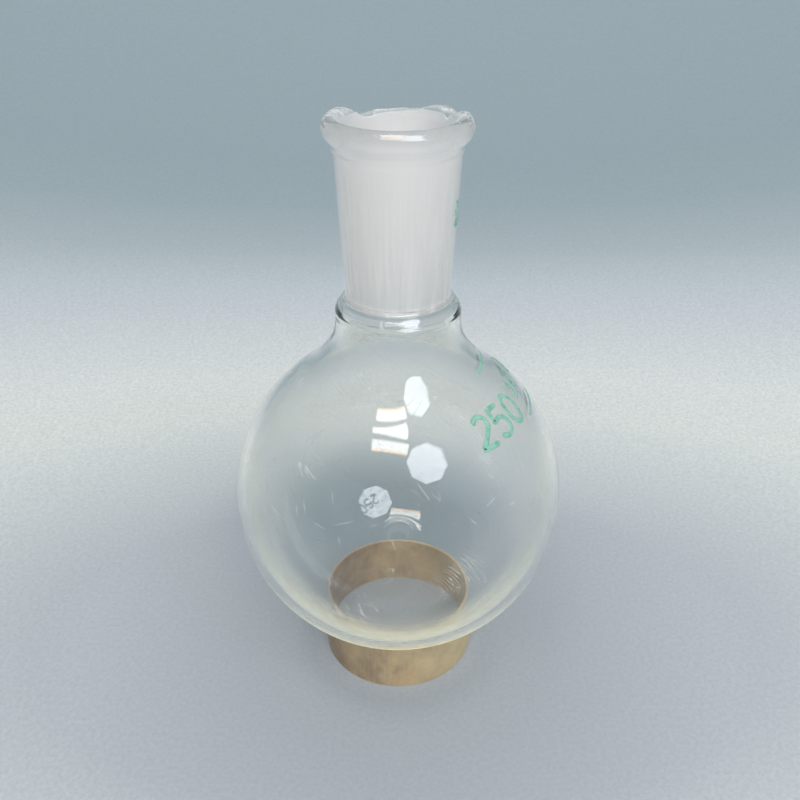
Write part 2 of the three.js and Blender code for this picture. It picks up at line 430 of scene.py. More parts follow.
def bulb_outline():
    """The bulb's outline, and where in it the ground stretch at the top of its bore starts and ends."""
    outside, inside = skin(0, 110, 20), skin(GLASS_WALL, 96, 17)
    top = WELD_Z - WELD_GAP / 2
    steps = 6

    def collar(start, points, end_radius):
        placed = [(radius * MM, WELD_Z - depth * MM) for radius, depth in points]
        return smooth([start, *placed, (end_radius, top)], steps)

    neck = collar(outside[-1], COLLAR_OUTSIDE, WELD_RADIUS + 0.05 * MM)
    bore = collar(inside[-1], COLLAR_INSIDE, BORE_FOOT)[::-1]
    edge = straight(neck[-1], bore[0], 5)
    ground_from = len(outside) + len(neck) + len(edge) - 3
    return joined(outside, neck, edge, bore, inside[::-1]), ground_from, ground_from + steps


def bulb_glass():
    outline, ground_from, ground_to = bulb_outline()
    grid = turn_grid(outline, GLASS_STEPS)
    away = grid - np.array([0, 0, BULB_Z])
    distance = np.linalg.norm(away, axis=-1, keepdims=True)
    below_neck = np.clip((WELD_Z - 8 * MM - grid[..., 2:]) / (20 * MM), 0, 1)
    wave = wobble(grid.reshape(-1, 3), 24 * MM, 5).reshape(grid.shape[:2])[..., None]
    grid = grid + away / distance * wave * below_neck * 0.03 * MM
    # The neck was turned in the flame as it was welded, which left fine uneven ridges round it.
    ridged = np.clip(1 - abs(grid[..., 2] - COLLAR_Z) / (2.6 * MM), 0, 1)
    ridges = wobble((grid * [0.05, 0.05, 1]).reshape(-1, 3), 1.1 * MM, 6).reshape(ridged.shape)
    uneven = wobble(grid.reshape(-1, 3), 9 * MM, 8).reshape(ridged.shape)
    outer = np.linalg.norm(grid[..., :2], axis=-1) > 13.2 * MM
    swell = ridged * outer * (0.005 * ridges + 0.003 * uneven)
    grid[..., :2] *= 1 + swell[..., None]
    mesh = capped_mesh("bulb_glass", grid)
    # Quads come before the two end fans, in rows of one azimuth each.
    row = len(outline) - 3
    column = np.arange(GLASS_STEPS * row) % row + 1
    ground = np.zeros(len(mesh.polygons), np.int32)
    ground[: len(column)] = (column >= ground_from) & (column < ground_to)
    mesh.polygons.foreach_set("material_index", ground)
    return add_piece("bulb_glass", mesh, "flask", ["bulb"])


def tube_radius(z):
    """The joint's outside radius at a height on its taper."""
    return TUBE_TOP_RADIUS - TUBE_TAPER * (TUBE_TOP_Z - z)


def joint_outline():
    """The joint's closed outline, up its outside, over the bead and down its ground bore. Also gives
    where the ground bore starts and ends in it."""
    bottom = WELD_Z + WELD_GAP / 2
    foot_z = WELD_Z + 1.15 * MM
    foot_end = (tube_radius(foot_z), foot_z)
    waist = [(12.62 * MM, WELD_Z + 0.3 * MM), (12.48 * MM, WELD_Z + 0.7 * MM)]
    foot = smooth([(WELD_RADIUS, bottom), *waist, foot_end], 4)
    groove_z = RIM_Z - GROOVE_DEPTH
    groove = (tube_radius(groove_z), groove_z)
    tube = straight(foot_end, groove, 26)
    bead = [(BEAD_RADIUS - inward * MM, RIM_Z - down * MM) for inward, down in BEAD]
    bore_start = (BORE_TOP - BORE_TAPER * BORE_START, RIM_Z - BORE_START)
    bead = smooth([groove, *bead, bore_start], BEAD_STEPS)
    bore = straight(bead[-1], (BORE_FOOT, bottom), 30)
    end = straight(bore[-1], foot[0], 5)[:-1]
    outline = joined(foot, tube, bead, bore, end)
    ground_from = len(foot) + len(tube) + len(bead) - 3 - GROUND_LEAD
    ground_to = len(foot) + len(tube) + len(bead) + len(bore) - 4
    return outline, ground_from, ground_to


def turned_from(points, azimuth):
    """How far round each point is from an azimuth, in degrees."""
    turn = np.degrees(np.arctan2(points[:, 1], points[:, 0]))
    return (turn - azimuth + 180) % 360 - 180


def bruise(points, azimuth, half_width):
    """How bruised each point is by one bruise: 1 over its middle, falling to 0 at its ends."""
    return np.clip(1.6 - 1.6 * np.abs(turned_from(points, azimuth)) / half_width, 0, 1)


def fracture_height(points):
    """How high the glass still stands at each point of the broken rim, and WHOLE where it is whole."""
    curve = smooth(BREAK, 8)
    turn = turned_from(points, 0)
    drop = np.interp(turn, curve[:, 0], curve[:, 1])
    depth = np.clip((drop + RIM_CLEAR) / 2.0, 0, 1)
    # The bead came away with the break, so the scar falls outwards, and less so inwards to the bore.
    out = np.linalg.norm(points[:, :2], axis=1) - SCAR_RADIUS
    fall = np.where(out > 0, 0.16 * out + 140 * out**2, 0.08 * -out + 45 * out**2)
    flat = points * [1, 1, 0]
    shells = wobble(flat, 4.2 * MM, 41) * 0.2 * MM
    ripples = wobble(flat, 1.3 * MM, 42) * 0.05 * MM
    height = RIM_Z - drop * MM - depth * (fall - shells - ripples)
    bruised = sum(bruise(points, *each) for each in BRUISES)
    height = height - bruised * np.abs(wobble(flat, 1.5 * MM, 43)) * 0.4 * MM
    return np.where((turn < BREAK[0][0]) | (turn > BREAK[-1][0]), WHOLE, height)


def joint_glass():
    outline, ground_from, ground_to = joint_outline()
    grid = turn_grid(outline, JOINT_STEPS)
    points = grid.reshape(-1, 3)
    limit = fracture_height(points)
    broken = np.clip((points[:, 2] - limit) / (0.15 * MM), 0, 1)
    high = np.clip((points[:, 2] - RIM_Z + 3.4 * MM) / (1.6 * MM), 0, 1)
    bruised = np.minimum(sum(bruise(points, *each) for each in BRUISES), 1) * high
    points[:, 2] = np.minimum(points[:, 2], limit)
    mesh = closed_mesh("ground_joint_glass", points.reshape(grid.shape))
    count = grid.shape[1]
    column = np.arange(JOINT_STEPS * count) % count
    ground = ((column >= ground_from) & (column < ground_to)).astype(np.int32)
    mesh.polygons.foreach_set("material_index", ground)
    vertex_value(mesh, "broken", broken)
    vertex_value(mesh, "bruised", bruised)
    return add_piece("ground_joint_glass", mesh, "flask", ["ground_joint"])


# ---- Paper ring ---------------------------------------------------------------------------------


def ring_outline():
    """The cut paper core, with its plies showing as fine steps on both cut edges."""
    inner = RING_RADIUS - RING_WALL
    plies = 3
    ply = RING_WALL / plies
    groove_z, crest_z = RING_HEIGHT - 0.07 * MM, RING_HEIGHT - 0.01 * MM
    foot, crest = 0.03 * MM, 0.08 * MM
    top = []
    for i in range(plies):
        left = inner + i * ply
        right = left + ply
        top += [
            (left + foot, groove_z),
            (left + crest, crest_z),
            (right - crest, crest_z),
            (right - foot, groove_z),
        ]
    top = np.array(top)
    bottom = top[::-1] * [1, -1] + [0, RING_HEIGHT]
    soft = 0.16 * MM
    outer_wall = straight((RING_RADIUS, RING_HEIGHT - soft), (RING_RADIUS, soft), 60)
    inner_wall = straight((inner, soft), (inner, RING_HEIGHT - soft), 60)
    return np.vstack([inner_wall, top, outer_wall, bottom])


def paper_ring():
    outline = ring_outline()
    grid = turn_grid(outline, PAPER_STEPS)
    flat = grid.reshape(-1, 3)
    out = flat[:, :2] / np.linalg.norm(flat[:, :2], axis=1)[:, None]
    dents = wobble(flat, 22 * MM, 31) * 0.10 * MM + wobble(flat, 3 * MM, 32) * 0.012 * MM
    turn = np.arctan2(flat[:, 1], flat[:, 0])
    # The outer strip is wound in a helix, and its butt joint shows as a fine groove.
    climb = RING_RADIUS * 0.42
    along = (turn * climb + flat[:, 2]) % (climb * 2 * math.pi)
    seam = np.exp(-(((along - 30 * MM) / (0.22 * MM)) ** 2)) * 0.10 * MM
    outer = np.linalg.norm(flat[:, :2], axis=1) > RING_RADIUS - 0.1 * MM
    flat[:, :2] += out * (dents - np.where(outer, seam, 0))[:, None]
    worn = 0.4 * MM
    edge = np.clip((flat[:, 2] - RING_HEIGHT + worn) / worn, 0, 1)
    flat[:, 2] -= edge * np.abs(wobble(flat, 2.2 * MM, 33)) * 0.10 * MM
    low_edge = np.clip((worn - flat[:, 2]) / worn, 0, 1)
    flat[:, 2] += low_edge * np.abs(wobble(flat, 2.2 * MM, 34)) * 0.05 * MM
    mesh = closed_mesh("paper_core_ring", flat.reshape(grid.shape))
    return add_piece("paper_core_ring", mesh, "ring", ["support_ring"])


# ---- Enamel -------------------------------------------------------------------------------------

# How far the enamel's underside and its face stand off the glass.
ENAMEL_LOW = 0.02 * MM
ENAMEL_HIGH = 0.06 * MM
# A figure is 1 high and this wide.
CELL = 0.62


def cell(x, y):
    return (x * CELL, y)


def bowl(x, y, size, start, end, steps):
    return arc(x * CELL, y, size, start, end, steps).tolist()


# Each figure's strokes, as the points of a line and whether the line is closed.
FIVE_FLAG = [cell(0.45, 0.5), cell(-0.4, 0.5), cell(-0.45, 0.06)]
STROKES = {
    "0": [(arc(0, 0, CELL / 2, 0, 345, 23, 1 / CELL).tolist(), True)],
    "2": [([*bowl(0, 0.22, 0.28, 165, -25, 12), cell(-0.5, -0.5), cell(0.5, -0.5)], False)],
    "4": [
        ([cell(0.5, -0.2), cell(-0.5, -0.2), cell(0.2, 0.5)], False),
        ([cell(0.2, 0.56), cell(0.2, -0.56)], False),
    ],
    "5": [([*FIVE_FLAG, *bowl(-0.05, -0.19, 0.31, 115, -150, 16)], False)],
    "slash": [([cell(-0.3, -0.56), cell(0, 0), cell(0.3, 0.56)], False)],
    "bar": [([(-0.5, 0), (0.5, 0)], False)],
}


def resampled(points, closed, step):
    """The line through the points with an even step, and its length."""
    line = np.array([*points, points[0]] if closed else points, float)
    lengths = np.linalg.norm(np.diff(line, axis=0), axis=1)
    along = np.concatenate([[0], np.cumsum(lengths)])
    count = max(int(along[-1] / step), 4)
    at = np.linspace(0, along[-1], count + 1)
    if closed:
        at = at[:-1]
    return np.column_stack([np.interp(at, along, line[:, k]) for k in (0, 1)]), along[-1]


def ribbon(points, closed, width, place, lift):
    """A thin closed strip along a line on a surface, with rounded ends."""
    line, length = resampled(points, closed, width / 5)
    if closed:
        along = np.roll(line, -1, axis=0) - np.roll(line, 1, axis=0)
        half = np.full(len(line), width / 2)
    else:
        along = np.gradient(line, axis=0)
        travelled = np.linspace(0, length, len(line))
        short = np.minimum(travelled, travelled[::-1]).clip(0, width / 2)
        rounded = (width / 2) ** 2 - (width / 2 - short) ** 2
        half = np.sqrt(np.maximum(rounded, (0.12 * width) ** 2))
    along /= np.linalg.norm(along, axis=1)[:, None]
    side = np.column_stack([-along[:, 1], along[:, 0]]) * half[:, None]
    vertices, faces = [], []
    for (x, y), (sx, sy) in zip(line, side):
        vertices += [
            place(x + sx, y + sy, ENAMEL_LOW),
            place(x + sx * 0.9, y + sy * 0.9, ENAMEL_HIGH + lift),
            place(x - sx * 0.9, y - sy * 0.9, ENAMEL_HIGH + lift),
            place(x - sx, y - sy, ENAMEL_LOW),
        ]
    count = len(line)
    for i in range(count if closed else count - 1):
        a, b = 4 * i, 4 * ((i + 1) % count)
        faces += [[a + k, a + (k + 1) % 4, b + (k + 1) % 4, b + k] for k in range(4)]
    if not closed:
        end = 4 * (count - 1)
        faces += [[3, 2, 1, 0], [end, end + 1, end + 2, end + 3]]
    return vertices, faces


def figure(name, key, height, width, place, node_name):
    """One enamel figure: each stroke is a strip, and a second stroke lies just over the first."""
    vertices, faces = [], []
    for i, (points, closed) in enumerate(STROKES[key]):
        scaled = [(x * height, y * height) for x, y in points]
        more, quads = ribbon(scaled, closed, width, place, i * 0.01 * MM)
        faces += [[v + len(vertices) for v in quad] for quad in quads]
        vertices += more
    return add_piece(name, smooth_mesh(name, vertices, faces), "flask", [node_name])


def on_bulb(elevation, azimuth):
    """A place on the bulb and its shoulder, centred at an elevation and an azimuth in degrees."""
    rise, turn, tangent = (math.radians(a) for a in (elevation, azimuth, TANGENT))

    def place(u, v, lift):
        up = rise + v / BULB_RADIUS
        past = (up - tangent) * BULB_RADIUS
        round_ = turn + u / (BULB_RADIUS * math.cos(rise))
        radius = (BULB_RADIUS + lift) * math.cos(up)
        z = BULB_Z + (BULB_RADIUS + lift) * math.sin(up)
        if past > 0:
            lean = tangent - past / SHOULDER_SWEEP
            radius = SWEEP_RADIUS - (SHOULDER_SWEEP - lift) * math.cos(lean)
            z = SWEEP_Z - (SHOULDER_SWEEP - lift) * math.sin(lean)
        return (radius * math.cos(round_), radius * math.sin(round_), z)

    return place


def on_joint(height, azimuth):
    """A place on the joint's outside, centred at a height and an azimuth in degrees."""
    turn = math.radians(azimuth)

    def place(u, v, lift):
        z = height + v
        radius = tube_radius(z)
        round_ = turn + u / radius
        return ((radius + lift) * math.cos(round_), (radius + lift) * math.sin(round_), z)

    return place


def figure_row(prefix, keys, height, width, pitch, first, radius, place):
    """Figures side by side, their sizes in millimetres: first is the azimuth of the first one."""
    made = []
    for i, key in enumerate(keys):
        azimuth = first + math.degrees(i * pitch / radius)
        name = f"{prefix}_{i + 1}"
        shape = (key, height * MM, width * MM)
        made.append(figure(f"enamel_{name}", *shape, place(azimuth), f"mark_{name}"))
    return made


def figure_bar(name, length, width, place):
    """A plain bar, its length and width in millimetres."""
    return figure(f"enamel_{name}", "bar", length * MM, width * MM, place, f"mark_{name}")


def enamel_marks():
    def across(rise):
        return BULB_RADIUS / MM * math.cos(math.radians(rise))

    big, small = 47, 49
    made = figure_row("capacity", "250", 7.6, 1.35, 6.4, -47, across(big), lambda a: on_bulb(big, a))
    size = ["2", "4", "slash", "4", "0"]
    made += figure_row("size", size, 4.2, 0.7, 3.7, -8, across(small), lambda a: on_bulb(small, a))
    made.append(figure_bar("bar_upper", 11, 0.9, on_bulb(62.5, -6)))
    made.append(figure_bar("bar_lower", 13, 0.9, on_bulb(39, -1)))

    # The joint's mark: 24 over 40, with a bar between them.
    bar_z, line, bar_azimuth = RIM_Z - 20 * MM, 1.9 * MM, -17
    joint_figures = (2.3, 0.4, 1.9, bar_azimuth - 4, 13.6)
    made += figure_row("joint_top", "24", *joint_figures, lambda a: on_joint(bar_z + line, a))
    made += figure_row("joint_bottom", "40", *joint_figures, lambda a: on_joint(bar_z - line, a))
    made.append(figure_bar("joint_bar", 3.4, 0.4, on_joint(bar_z, bar_azimuth)))
    return made


# ---- Materials ----------------------------------------------------------------------------------

# The heights that the materials go by, in millimetres.
WELD_MM = WELD_Z / MM
RIM_MM = RIM_Z / MM
RING_TOP_MM = RING_HEIGHT / MM
RING_RADIUS_MM = RING_RADIUS / MM

GLASS_IOR = 1.474


def tone(red, green, blue):
    """A display colour, 0 to 255, as the linear colour that a shader takes."""
    shares = [c / 255 for c in (red, green, blue)]
    return (*[s / 12.92 if s <= 0.04045 else ((s + 0.055) / 1.055) ** 2.4 for s in shares], 1.0)


def grey(share):
    return (share, share, share, 1)


def let_light_through(tree, surface, clear, edge):
    """The surface, but lamps and scattered light pass straight through it, dimmed most at its edges."""
    path = node(tree, "ShaderNodeLightPath")
    grazing = node(tree, "ShaderNodeLayerWeight")
    grazing.inputs["Blend"].default_value = 0.35
    passing = node(tree, "ShaderNodeBsdfTransparent")
    tint = blend_colours(tree, grazing.outputs["Facing"], grey(clear), grey(edge))
    tree.links.new(tint, passing.inputs["Color"])
    scattered = maths(tree, "MAXIMUM", path.outputs["Is Shadow Ray"], path.outputs["Is Diffuse Ray"])
    return stack(tree, scattered, surface, passing.outputs[0])


def glass_shader(tree, roughness, normal, colour, coat=0.0):
    shader = node(tree, "ShaderNodeBsdfPrincipled")
    feed(tree, shader.inputs["Base Color"], colour)
    shader.inputs["Transmission Weight"].default_value = 1.0
    shader.inputs["IOR"].default_value = GLASS_IOR
    feed(tree, shader.inputs["Roughness"], roughness)
    tree.links.new(normal, shader.inputs["Normal"])
    feed(tree, shader.inputs["Coat Weight"], coat)
    return shader.outputs[0]


def matt(tree, normal, colour):
    shader = node(tree, "ShaderNodeBsdfDiffuse")
    feed(tree, shader.inputs["Color"], colour)
    tree.links.new(normal, shader.inputs["Normal"])
    return shader.outputs[0]


def lit_through(tree, colour):
    shader = node(tree, "ShaderNodeBsdfTranslucent")
    shader.inputs["Color"].default_value = colour
    return shader.outputs[0]


def thin_lines(tree, noise, width):
    """Lines where a noise crosses its middle value."""
    near = maths(tree, "ABSOLUTE", maths(tree, "SUBTRACT", noise, 0.5))
    return span(tree, near, 0.0, width, 1.0, 0.0)


def fine_scratches(tree, scale, turn):
    """Thin straight broken lines, from a long drawn-out noise, in scattered patches."""
    thin = thin_lines(tree, cloud(tree, scale, (1, 0.06, 0.06), detail=0.0, turn=turn), 0.006)
    return product(tree, thin, span(tree, cloud(tree, 0.14, detail=1.0, turn=turn), 0.59, 0.63))


def ring_scratches(tree, azimuth, reach, lean):
    """Thin scratches round the bottom of the bulb, where it turns in the ring: about an azimuth and as
    far as reach to each side, leaning off the way round by lean, all in radians."""
    turn = maths(tree, "ARCTAN2", axis(tree, "Y"), axis(tree, "X"))
    place = node(tree, "ShaderNodeCombineXYZ")
    feed(tree, place.inputs["X"], product(tree, turn, RING_RADIUS_MM))
    feed(tree, place.inputs["Y"], from_axis(tree))
    leaning = node(tree, "ShaderNodeMapping")
    leaning.inputs["Rotation"].default_value = (0, 0, lean)
    tree.links.new(place.outputs[0], leaning.inputs["Vector"])
    drawn_out = node(tree, "ShaderNodeMapping")
    drawn_out.inputs["Scale"].default_value = (0.05, 1, 1)
    tree.links.new(leaning.outputs[0], drawn_out.inputs["Vector"])
    line = node(tree, "ShaderNodeTexNoise")
    tree.links.new(drawn_out.outputs[0], line.inputs["Vector"])
    line.inputs["Scale"].default_value = 1.1
    line.inputs["Detail"].default_value = 0.0
    aside = maths(tree, "ABSOLUTE", maths(tree, "SUBTRACT", turn, azimuth))
    thin = thin_lines(tree, line.outputs["Fac"], 0.04)
    return product(tree, thin, span(tree, aside, reach * 0.6, reach, 1.0, 0.0))


def glass_marks(tree, height):
    """How far the bulb is scratched: all over, and more in the band that rubs on the ring."""
    worn = product(
        tree,
        span(tree, height, RING_TOP_MM - 3.1, RING_TOP_MM - 0.6),
        span(tree, height, RING_TOP_MM + 2.4, RING_TOP_MM + 6.4, 1.0, 0.0),
    )
    right, left = ring_scratches(tree, 0.15, 0.4, 0.25), ring_scratches(tree, -2.4, 0.35, -0.2)
    rubbed = product(tree, maths(tree, "ADD", right, left), worn)
    first = fine_scratches(tree, 0.35, (0.2, 0.9, 0.1))
    second = fine_scratches(tree, 0.30, (0.8, -0.4, 1.1))
    light = product(tree, maths(tree, "ADD", first, second), 0.45)
    return maths(tree, "MINIMUM", product(tree, maths(tree, "ADD", rubbed, light), 0.6), 0.8)


def clear_glass():
    """The blown bulb: fine scratches, a rubbed band where it sits in the ring, a green tint edge on,
    and low down a film where the glass is seen edge on, which is partly dusty and partly a painted glow
    that gives back more light than falls on it."""
    material, tree = new_material("clear_glass")
    height = axis(tree, "Z")
    neck = product(
        tree,
        span(tree, height, WELD_MM - 5.65, WELD_MM - 3.65),
        span(tree, height, WELD_MM - 0.15, WELD_MM + 0.65, 1.0, 0.0),
    )
    ridges = product(tree, neck, cloud(tree, 1.4, (0.05, 0.05, 1), detail=2.0))
    ripple = bump(tree, cloud(tree, 0.06, (1, 1, 0.7), detail=1.0), 0.25, 0.05 * MM)
    ripple = bump(tree, ridges, 0.4, 0.12 * MM, ripple)

    layer = node(tree, "ShaderNodeLayerWeight")
    layer.inputs["Blend"].default_value = 0.5
    edge_on = layer.outputs["Facing"]
    tint = blend_colours(tree, edge_on, (0.99, 0.995, 0.992, 1), (0.865, 0.873, 0.848, 1))
    haze = span(tree, cloud(tree, 0.035, detail=5.0), 0.52, 0.78, 0.0, 0.05)
    glass = glass_shader(tree, haze, ripple, tint, neck)
    scuffed = stack(tree, glass_marks(tree, height), glass, matt(tree, ripple, grey(0.85)))

    grazing = span(tree, edge_on, 0.42, 0.96, 0.0, 0.93, smooth_step=True)
    low = span(tree, height, RING_TOP_MM - 0.6, RING_TOP_MM + 27.4, 1.0, 0.03)
    patchy = span(tree, cloud(tree, 0.3, detail=5.0), 0.3, 0.7, 0.85, 1.15)
    # Where the glass is seen edge on low down: partly dusting, partly a painted glow.
    dust_and_glow = product(tree, product(tree, grazing, low), patchy)
    dust_and_glow_colour = (0.96, 0.925, 0.70, 1)
    # Painted glow: a matt and a lit-through layer added together give back more light than falls on
    # them, for the light that the glass carries round to its lower rim.
    film = both(tree, matt(tree, ripple, dust_and_glow_colour), lit_through(tree, dust_and_glow_colour))
    close(tree, let_light_through(tree, stack(tree, dust_and_glow, scuffed, film), 0.98, 0.72))
    return material


def rim_glass():
    """The joint's clear outside and its broken rim, whose ends are bruised white, and whose broken face
    has painted glints of white.
    """
    material, tree = new_material("rim_glass")
    broken = attribute(tree, "broken")
    crushed = product(tree, attribute(tree, "bruised"), span(tree, cloud(tree, 0.8), 0.40, 0.58))
    roughness = maths(tree, "ADD", product(tree, broken, 0.08), product(tree, crushed, 0.25))
    # The broken face has its ripples in the mesh, so the relief stops where the glass is all broken.
    whole = maths(tree, "LESS_THAN", maths(tree, "MAXIMUM", broken, crushed), 1.0)
    relief = cloud(tree, 0.9, (1, 1, 2.2), detail=3.0)
    normal = bump(tree, relief, product(tree, whole, 0.6), 0.18 * MM)

    glass = glass_shader(tree, roughness, normal, (0.997, 0.999, 0.998, 1), 1.0)
    white = grey(0.93)
    # White for the bruised ends, and also for the painted glints on the broken face.
    bruise_and_glint_white = stack(tree, 0.5, matt(tree, normal, white), lit_through(tree, white))
    # Painted glints: white patches on the broken face, in place of the light it catches.
    painted_glint = product(tree, broken, span(tree, cloud(tree, 0.5, detail=4.0), 0.48, 0.62, 0.05, 0.6))
    whiteness = maths(tree, "MAXIMUM", product(tree, crushed, 0.65), painted_glint)
    close(tree, let_light_through(tree, stack(tree, whiteness, glass, bruise_and_glint_white), 0.98, 0.95))
    return material


def ground_glass():
    """The bore, ground matt white for a stopper, with the streaks that stoppers leave low in it."""
    material, tree = new_material("ground_glass")
    height = axis(tree, "Z")
    streaks = cloud(tree, 1.6, (1, 1, 0.03), detail=4.0, rough=0.6)
    low = span(tree, height, WELD_MM + 1.85, RIM_MM - 9.0, 1.0, 0.2)
    rubbed = product(tree, span(tree, streaks, 0.66, 0.42), low)
    grain = bump(tree, cloud(tree, 9.0, detail=2.0), 0.4, 0.02 * MM)
    normal = bump(tree, streaks, 0.3, 0.08 * MM, grain)
    glass = glass_shader(tree, span(tree, rubbed, 0.0, 1.0, 0.62, 0.38), normal, (1, 1, 1, 1))

    white, worn_grey = (0.845, 0.832, 0.822, 1), (0.68, 0.672, 0.664, 1)
    body = matt(tree, normal, blend_colours(tree, rubbed, white, worn_grey))
    frost = stack(tree, 0.35, body, lit_through(tree, white))
    share = span(tree, rubbed, 0.0, 1.0, 0.94, 0.76)
    share = product(tree, share, span(tree, height, RIM_MM - 6.5, RIM_MM - 1.5, 1.0, 0.74))

    path = node(tree, "ShaderNodeLightPath")
    passing = node(tree, "ShaderNodeBsdfTransparent")
    passing.inputs["Color"].default_value = (0.82, 0.83, 0.83, 1)
    surface = stack(tree, share, glass, frost)
    close(tree, stack(tree, path.outputs["Is Shadow Ray"], surface, passing.outputs[0]))
    return material


def kraft_paper():
    """Brown core paper: mottled and fibrous, with painted shade darkening its left and painted light on
    its right, painted light making it pale inside, and paler fibres at the cut edges."""
    material, tree = new_material("kraft_paper")
    patches = cloud(tree, 0.10, detail=6.0, rough=0.6)
    fibres = cloud(tree, 1.1, (1, 1, 0.22), detail=6.0, rough=0.7)
    flecks = cloud(tree, 2.6, (1, 1, 0.5), detail=3.0)
    warm = cloud(tree, 0.17, detail=4.0)
    across = axis(tree, "X")
    radius = from_axis(tree)
    height = axis(tree, "Z")

    mottle = span(tree, patches, 0.36, 0.64)
    colour = blend_colours(tree, mottle, tone(132, 110, 91), tone(196, 171, 130))
    inner_wall = (RING_RADIUS - RING_WALL) / MM
    inner = span(tree, radius, inner_wall + 0.3, RING_RADIUS_MM - 0.5, 0.94, 0.0)
    layers = [
        (span(tree, warm, 0.52, 0.72), tone(178, 140, 108)),
        (span(tree, fibres, 0.35, 0.75, 0.0, 0.5), tone(200, 178, 144)),
        (span(tree, flecks, 0.60, 0.72, 0.0, 0.55), tone(94, 78, 64)),
        # Painted shade: the left side is darker, where less light falls on it.
        (span(tree, across, -20.0, -4.0, 0.5, 0.0), tone(104, 84, 76)),
        # Painted light: the right side is paler, where the lamps fall on it.
        (span(tree, across, -17.0, 20.0, 0.0, 0.45), tone(224, 206, 160)),
        # Painted light: the inside is near white, for the light that the bulb focuses into the ring.
        (inner, tone(255, 236, 222)),
    ]
    for share, over in layers:
        colour = blend_colours(tree, share, colour, over)

    rim = span(tree, radius, RING_RADIUS_MM - 0.45, RING_RADIUS_MM - 0.2)
    edge_top = product(tree, rim, span(tree, height, RING_TOP_MM - 0.4, RING_TOP_MM - 0.12))
    edge = maths(tree, "MAXIMUM", edge_top, span(tree, height, 0.12, 0.45, 1.0, 0.0))
    frayed = product(tree, edge, span(tree, fibres, 0.25, 0.6, 0.3, 0.85))
    colour = blend_colours(tree, frayed, colour, tone(208, 186, 156))

    shader = node(tree, "ShaderNodeBsdfPrincipled")
    tree.links.new(colour, shader.inputs["Base Color"])
    tree.links.new(span(tree, fibres, 0.3, 0.7, 0.78, 0.95), shader.inputs["Roughness"])
    shader.inputs["Sheen Weight"].default_value = 0.15
    shader.inputs["Sheen Roughness"].default_value = 0.5
    pulp = bump(tree, cloud(tree, 5.0, detail=3.0), 0.5, 0.04 * MM)
    tree.links.new(bump(tree, fibres, 0.6, 0.08 * MM, pulp), shader.inputs["Normal"])
    close(tree, shader.outputs[0])
    return material


def green_enamel():
    """Thin green enamel, mottled and worn through in places."""
    material, tree = new_material("green_enamel")
    thin = cloud(tree, 0.7, detail=5.0, rough=0.65)
    colour = blend_colours(tree, span(tree, thin, 0.35, 0.65), tone(108, 168, 148), tone(162, 212, 195))
    shader = node(tree, "ShaderNodeBsdfPrincipled")
    tree.links.new(colour, shader.inputs["Base Color"])
    tree.links.new(span(tree, thin, 0.3, 0.7, 0.3, 0.6), shader.inputs["Roughness"])
    tree.links.new(bump(tree, cloud(tree, 4.0, detail=3.0), 0.4, 0.02 * MM), shader.inputs["Normal"])
    tree.links.new(span(tree, thin, 0.55, 0.75, 0.9, 0.4), shader.inputs["Alpha"])
    close(tree, shader.outputs[0])
    return material


# ---- Stage, lights and camera -------------------------------------------------------------------

AIM = Vector((0, 0, 80 * MM))
LAMP_DISTANCE = 1.0
# The middle of the soft shadow on the floor behind the flask.
SHADOW_AT = (-10 * MM, 56 * MM, 0)
# The backdrop's colour at each distance from the object, in millimetres along the floor, with painted
# light in it: palest in a band 125 to 155 mm out, darker nearer and further off.
SWEEP_TONES = [
    (0, (180, 187, 194)),
    (60, (180, 187, 194)),
    (95, (200, 207, 210)),
    (125, (216, 221, 219)),
    (155, (217, 222, 221)),
    (187, (206, 212, 216)),
    (225, (189, 198, 206)),
    (260, (167, 179, 186)),
    (295, (150, 167, 174)),
    (330, (147, 163, 171)),
    (430, (150, 166, 174)),
]


def sweep_paper():
    """Pale paper with painted light and shade: a paler band, darker further off, and two painted soft
    shadows: round the ring and behind it.
    """
    material, tree = new_material("sweep_paper")
    furthest = SWEEP_TONES[-1][0]
    reach = maths(tree, "DIVIDE", from_axis(tree, 0.55), furthest)
    colour = ramp(tree, reach, [(at / furthest, tone(*shade)) for at, shade in SWEEP_TONES])
    near = from_axis(tree)
    shade = product(tree, span(tree, near, 20, 26), span(tree, near, 45, 95, 0.25, 0.0))
    colour = blend_colours(tree, shade, colour, tone(110, 122, 130))
    behind = node(tree, "ShaderNodeVectorMath", operation="DISTANCE")
    tree.links.new(node(tree, "ShaderNodeTexCoord").outputs["Object"], behind.inputs[0])
    behind.inputs[1].default_value = SHADOW_AT
    away = maths(tree, "DIVIDE", behind.outputs["Value"], MM)
    dusk = span(tree, away, 18.0, 64.0, 0.42, 0.0, smooth_step=True)
    colour = blend_colours(tree, dusk, colour, tone(92, 122, 126))
    grain = cloud(tree, 0.8, detail=5.0, rough=0.7)
    colour = blend_colours(tree, span(tree, grain, 0.35, 0.65, 0.0, 0.3), colour, tone(136, 144, 152))
    shader = node(tree, "ShaderNodeBsdfPrincipled")
    tree.links.new(colour, shader.inputs["Base Color"])
    shader.inputs["Roughness"].default_value = 0.9
    shader.inputs["Specular IOR Level"].default_value = 0.2
    tree.links.new(bump(tree, grain, 0.3, 0.15 * MM), shader.inputs["Normal"])
    close(tree, shader.outputs[0])
    return material


def stage_bowl():
    """A pale sweep of paper all round: flat under the object and rising to a wall, in one curve."""
    flat, size = 0.12, 0.5
    outline = joined(straight((0, 0), (flat, 0), 12), arc(flat, size, size, -90, -4, 48))
    grid = turn_grid(outline, 96)
    index = point_numbers(grid)
    faces = quads_between(index[:, :-1], index[:, 1:])
    mesh = smooth_mesh("sweep", grid.reshape(-1, 3).tolist(), faces)
    mesh.materials.append(sweep_paper())
    sweep = bpy.data.objects.new("sweep", mesh)
    bpy.context.scene.collection.objects.link(sweep)


